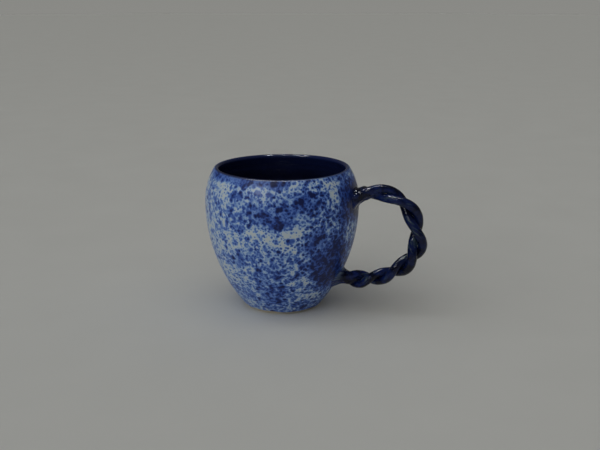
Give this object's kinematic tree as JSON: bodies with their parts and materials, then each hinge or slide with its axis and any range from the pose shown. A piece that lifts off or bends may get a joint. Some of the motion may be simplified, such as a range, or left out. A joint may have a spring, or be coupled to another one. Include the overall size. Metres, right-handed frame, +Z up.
{
  "type": "ceramic mug",
  "caption": "Barrel-shaped thrown stoneware mug with a twisted rope handle, spattered outside and dark glossy inside.",
  "frame": {"origin": "centre of the foot ring, on the surface that the mug stands on and on the axis of the pot", "axes": "+Z up along the axis of the pot, +X out through the middle of the handle, +Y to the left of someone who looks along +X"},
  "size_m": [0.1313, 0.09, 0.0835],
  "materials": {
    "bare_clay": "matte",
    "spatter_glaze": "satin",
    "cobalt_glaze": "gloss",
    "navy_glaze": "gloss"
  },
  "bodies": {
    "root": {"thrown_body": "bare_clay", "outer_glaze": "spatter_glaze", "liner_glaze": "cobalt_glaze", "handle_coil_a": "bare_clay", "handle_coil_b": "bare_clay", "coil_a_glaze": "navy_glaze", "coil_b_glaze": "navy_glaze", "upper_slip_joint": "navy_glaze", "lower_slip_joint": "navy_glaze"}
  },
  "joints": []
}
